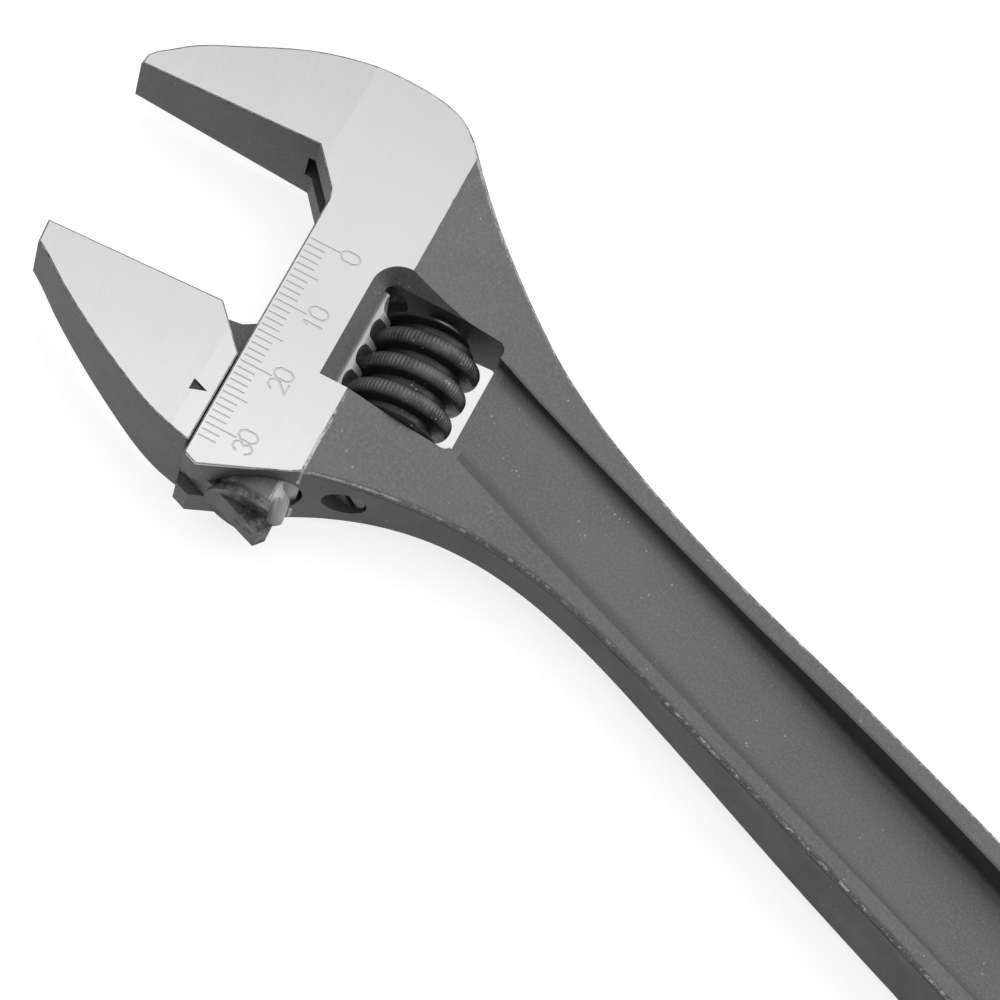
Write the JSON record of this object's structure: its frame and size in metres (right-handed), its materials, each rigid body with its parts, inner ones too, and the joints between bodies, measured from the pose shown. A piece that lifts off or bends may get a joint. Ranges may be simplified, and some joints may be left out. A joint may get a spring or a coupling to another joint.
{
  "type": "adjustable wrench",
  "caption": "Adjustable wrench with a fixed jaw, a sliding jaw on a rack bar and a knurled worm that sets the opening; hang hole in the handle.",
  "frame": {"origin": "centre of the hang hole, halfway through the handle's thickness", "axes": "+X up the handle towards the jaws, +Y towards the side that the moving jaw opens to, +Z out of the face with the scale"},
  "size_m": [0.2559, 0.0603, 0.016],
  "materials": {
    "body_steel": "black phosphate, with ground bright faces on the head",
    "jaw_steel": "ground bright faces, dark sides",
    "worm_steel": "black oxide, knurled crests",
    "pin_steel": "black oxide",
    "spring_steel": "oiled spring wire"
  },
  "bodies": {
    "handle": {"wrench_body": "body_steel", "worm_pin": "pin_steel", "worm_spring": "spring_steel"},
    "jaw": {"moving_jaw": "jaw_steel"},
    "worm": {"adjusting_worm": "worm_steel"}
  },
  "joints": [
    {"name": "jaw_slide", "type": "slide", "parent": "handle", "child": "jaw", "axis": [-0.3502, 0.9367, 0], "range_m": [-0.0261, 0.0039]},
    {"name": "worm_spin", "type": "hinge", "parent": "handle", "child": "worm", "pos_m": [0.18892, 0.00197, 0], "axis": [0.3502, -0.9367, 0], "range_deg": [-2270, 340]}
  ],
  "couplings": [
    {"joint": "worm_spin", "follows": "jaw_slide", "rad_per_m": 1517.7}
  ]
}
